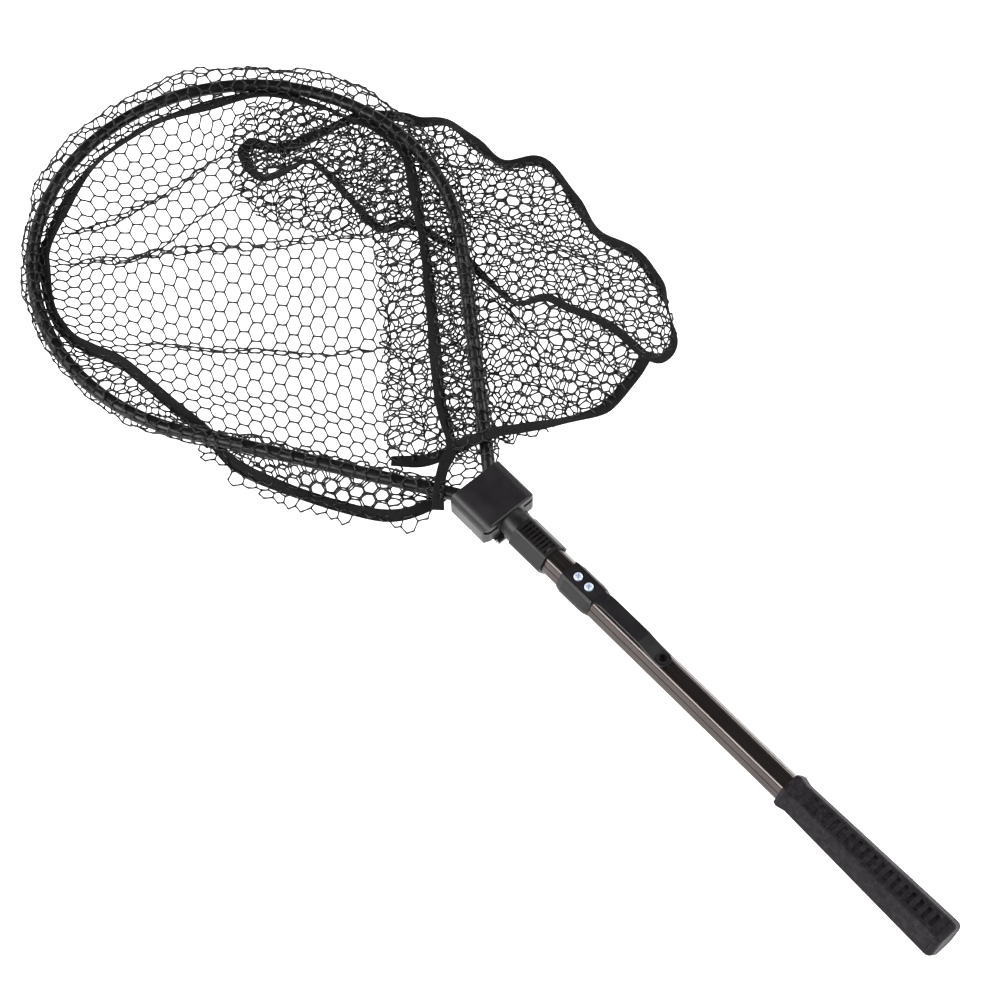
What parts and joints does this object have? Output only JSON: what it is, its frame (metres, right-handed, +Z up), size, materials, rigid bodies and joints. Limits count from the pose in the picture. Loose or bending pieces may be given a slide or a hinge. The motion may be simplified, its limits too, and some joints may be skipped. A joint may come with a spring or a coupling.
{
  "type": "landing net",
  "caption": "Folding landing net: a round hoop with a coated hexagonal-mesh bag on a hinged yoke, a straight handle with a sliding release collar, belt clip and rubber grip.",
  "frame": {"origin": "middle of the handle's butt face, on the handle's axis", "axes": "+X along the handle from the butt to the hoop, +Y to the hoop's left, +Z up, away from the table the net lies on"},
  "size_m": [0.9795, 0.4279, 0.0337],
  "materials": {
    "anodised_tube": "glossy black anodised",
    "grip_rubber": "fine matt texture",
    "black_casting": "satin",
    "plain_steel": "plain",
    "black_plastic": "satin moulded",
    "zinc_screws": "bright zinc",
    "hoop_metal": "glossy black",
    "yoke_plastic": "satin moulded",
    "coated_mesh": "rubber-coated knotless mesh",
    "woven_tape": "woven polyester tape"
  },
  "bodies": {
    "handle": {"handle_tube": "anodised_tube", "grip": "grip_rubber", "butt_cap": "grip_rubber", "hinge_head": "black_casting", "neck_rivets": "plain_steel", "hinge_pin": "plain_steel", "hinge_pin_clip": "plain_steel", "clip_collar": "black_plastic", "belt_clip_strap": "black_plastic", "clip_screws": "zinc_screws", "collar_spring": "plain_steel"},
    "belt_clip": {"belt_clip_blade": "black_plastic"},
    "release_collar": {"release_collar": "black_plastic", "lock_bolt": "plain_steel", "bolt_cross_pin": "plain_steel"},
    "head": {"hoop_tube": "hoop_metal", "hoop_lock_pins": "plain_steel", "yoke_upper_shell": "yoke_plastic", "yoke_lower_shell": "yoke_plastic", "yoke_screws": "plain_steel", "latch_plate": "plain_steel", "net_wall": "coated_mesh", "net_base": "coated_mesh", "net_sleeve": "coated_mesh", "base_seam_tape": "woven_tape", "hem_tape": "woven_tape", "side_seam_tape": "woven_tape", "seam_tape_end": "woven_tape"}
  },
  "joints": [
    {"name": "head_fold", "type": "hinge", "parent": "handle", "child": "head", "pos_m": [0.4545, 0, -0.0115], "axis": [0, 1, 0], "range_deg": [0, 170]},
    {"name": "collar_slide", "type": "slide", "parent": "handle", "child": "release_collar", "axis": [-1, 0, 0], "range_m": [0, 0.008], "stiffness_N_per_m": 600, "springref_m": -0.004, "deforming": ["collar_spring"]},
    {"name": "clip_flex", "type": "hinge", "parent": "handle", "child": "belt_clip", "pos_m": [0.356, 0, 0.0127], "axis": [0, 1, 0], "range_deg": [0, 6], "stiffness_Nm_per_rad": 6, "springref_deg": -0.57}
  ]
}
